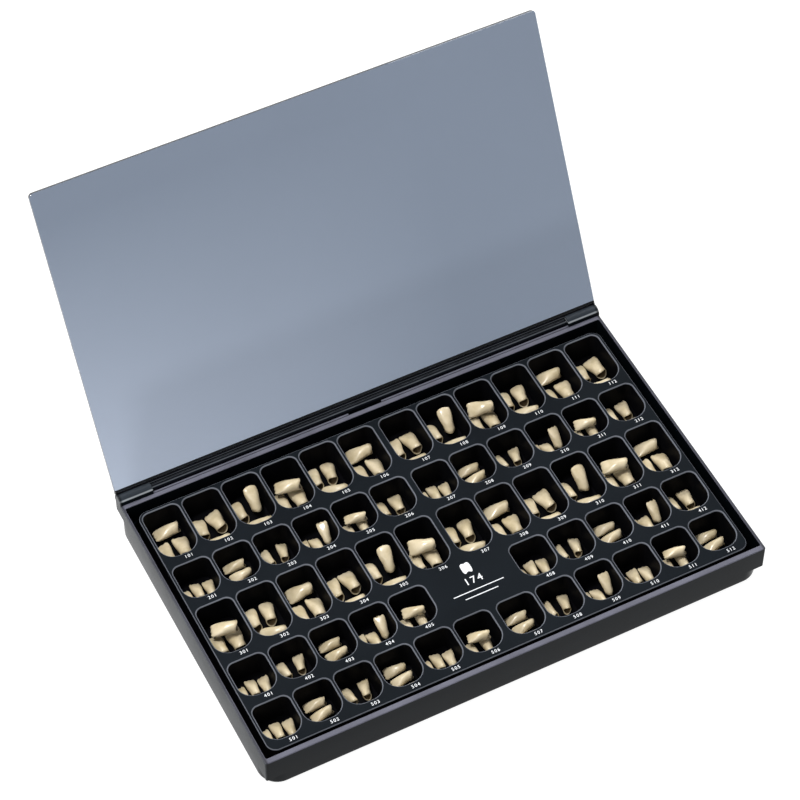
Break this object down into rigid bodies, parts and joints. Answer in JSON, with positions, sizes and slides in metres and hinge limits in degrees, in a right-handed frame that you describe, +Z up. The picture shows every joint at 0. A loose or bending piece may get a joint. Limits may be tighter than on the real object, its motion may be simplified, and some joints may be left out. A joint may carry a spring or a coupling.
{
  "type": "dental crown form kit box",
  "caption": "Flat box with a hinged smoked lid and a moulded tray of small rounded wells, each holding thin hollow tooth-shaped crown forms.",
  "frame": {"origin": "middle of the case's footprint, on the surface that it stands on", "axes": "+Z up, +X along the long side to the right, +Y towards the hinge at the rear"},
  "size_m": [0.258, 0.2363, 0.1648],
  "materials": {
    "case_black": "glossy black injection-moulded plastic",
    "rail_black": "glossy black extruded plastic",
    "tray_satin": "satin dark blue-grey moulded plastic",
    "lid_smoke": "clear smoked grey-blue acrylic sheet",
    "pin_steel": "drawn steel wire",
    "crown_resin": "semi-gloss beige thin moulded resin"
  },
  "bodies": {
    "case": {"case_shell": "case_black", "crowns_row1_wells_01_02": "crown_resin", "crowns_row1_wells_03_04": "crown_resin", "crowns_row1_wells_05_06": "crown_resin", "crowns_row1_wells_07_08": "crown_resin", "crowns_row1_wells_09_10": "crown_resin", "crowns_row1_wells_11_12": "crown_resin", "crowns_row2_wells_01_02": "crown_resin", "crowns_row2_wells_03_04": "crown_resin", "crowns_row2_wells_05_06": "crown_resin", "crowns_row2_wells_07_08": "crown_resin", "crowns_row2_wells_09_10": "crown_resin", "crowns_row2_wells_11_12": "crown_resin", "crowns_row3_wells_01_02": "crown_resin", "crowns_row3_wells_03_04": "crown_resin", "crowns_row3_wells_05_06": "crown_resin", "crowns_row3_wells_07_08": "crown_resin", "crowns_row3_wells_09_10": "crown_resin", "crowns_row3_wells_11_12": "crown_resin", "crowns_row4_wells_01_02": "crown_resin", "crowns_row4_wells_03_04": "crown_resin", "crowns_row4_wells_05_06": "crown_resin", "crowns_row4_wells_07_08": "crown_resin", "crowns_row4_wells_09_10": "crown_resin", "crowns_row4_wells_11_12": "crown_resin", "crowns_row5_wells_01_02": "crown_resin", "crowns_row5_wells_03_04": "crown_resin", "crowns_row5_wells_05_06": "crown_resin", "crowns_row5_wells_07_08": "crown_resin", "crowns_row5_wells_09_10": "crown_resin", "crowns_row5_wells_11_12": "crown_resin", "tray_insert": "tray_satin"},
    "lid": {"lid_plate": "lid_smoke", "lid_rail": "rail_black", "hinge_pin_left": "pin_steel", "hinge_pin_right": "pin_steel"}
  },
  "joints": [
    {"name": "lid_hinge", "type": "hinge", "parent": "case", "child": "lid", "pos_m": [0, 0.0791, 0.0224], "axis": [1, 0, 0], "range_deg": [0, 117.3]}
  ]
}
